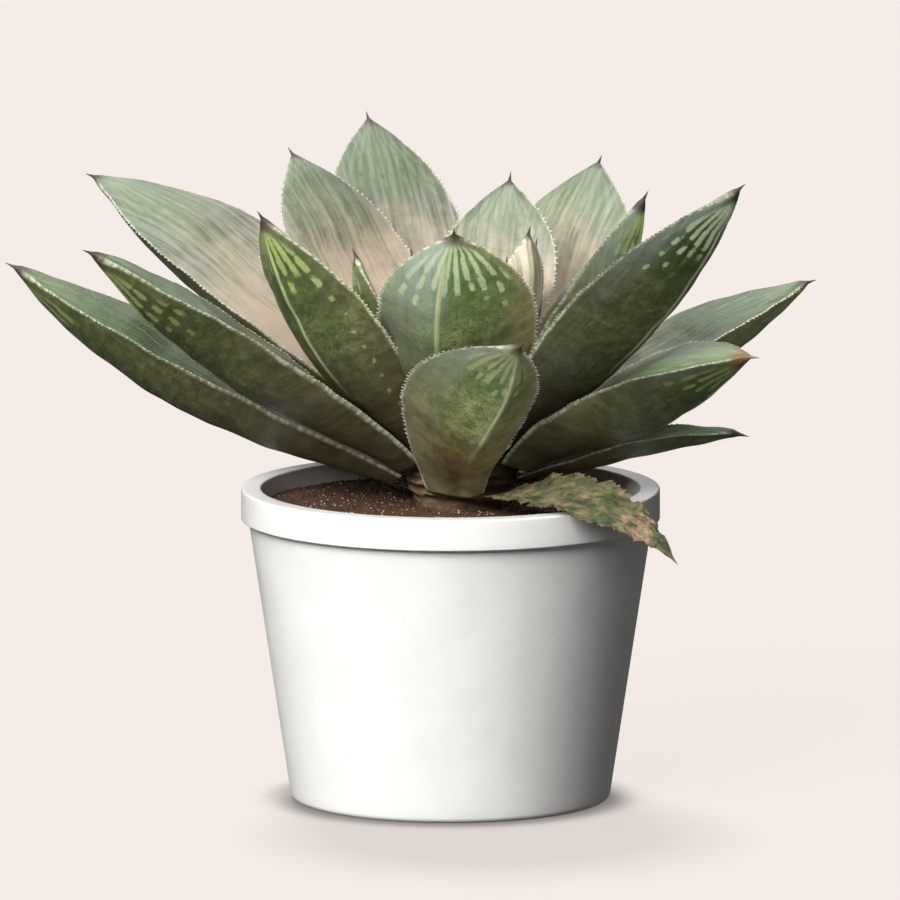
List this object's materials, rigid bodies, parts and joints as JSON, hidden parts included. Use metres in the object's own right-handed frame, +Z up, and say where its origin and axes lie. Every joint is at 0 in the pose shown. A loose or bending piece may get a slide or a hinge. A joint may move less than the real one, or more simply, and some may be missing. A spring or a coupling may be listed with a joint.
{
  "type": "potted haworthia",
  "caption": "Rosette succulent with thick, keeled, window-tipped leaves and fine teeth on their margins, on a short stem in dark soil in a white tapered pot with a plain lip.",
  "frame": {"origin": "Centre of the pot's underside, on the surface it stands on.", "axes": "+Z is up. +X is the picture's right and -Y is the front, toward the camera."},
  "size_m": [0.1562, 0.11, 0.1254],
  "materials": {
    "pot": "satin white glaze",
    "soil": "dark, crumbly, matt",
    "stem": "dry, matt",
    "leaf": "waxy satin",
    "old_leaf": "dull, wilted"
  },
  "bodies": {
    "root": {"pot": "pot", "soil": "soil", "stem": "stem", "leaf_far_left": "leaf", "leaf_low_left": "leaf", "leaf_low_front": "leaf", "leaf_low_right": "leaf", "leaf_lowest_right": "leaf", "leaf_far_right": "leaf", "leaf_low_back_right": "leaf", "leaf_low_back": "leaf", "leaf_old": "old_leaf", "leaf_high_left": "leaf", "leaf_mid_left": "leaf", "leaf_mid_front": "leaf", "leaf_mid_right": "leaf", "leaf_back_left": "leaf", "leaf_back": "leaf", "leaf_back_right": "leaf", "leaf_inner_back_right": "leaf", "leaf_inner_right": "leaf", "leaf_young_back": "leaf", "leaf_young_left": "leaf", "leaf_young_front": "leaf", "leaf_young_right": "leaf", "leaf_young_back_left": "leaf", "leaf_bud_back": "leaf", "leaf_bud_left": "leaf", "leaf_bud_right": "leaf"}
  },
  "joints": []
}
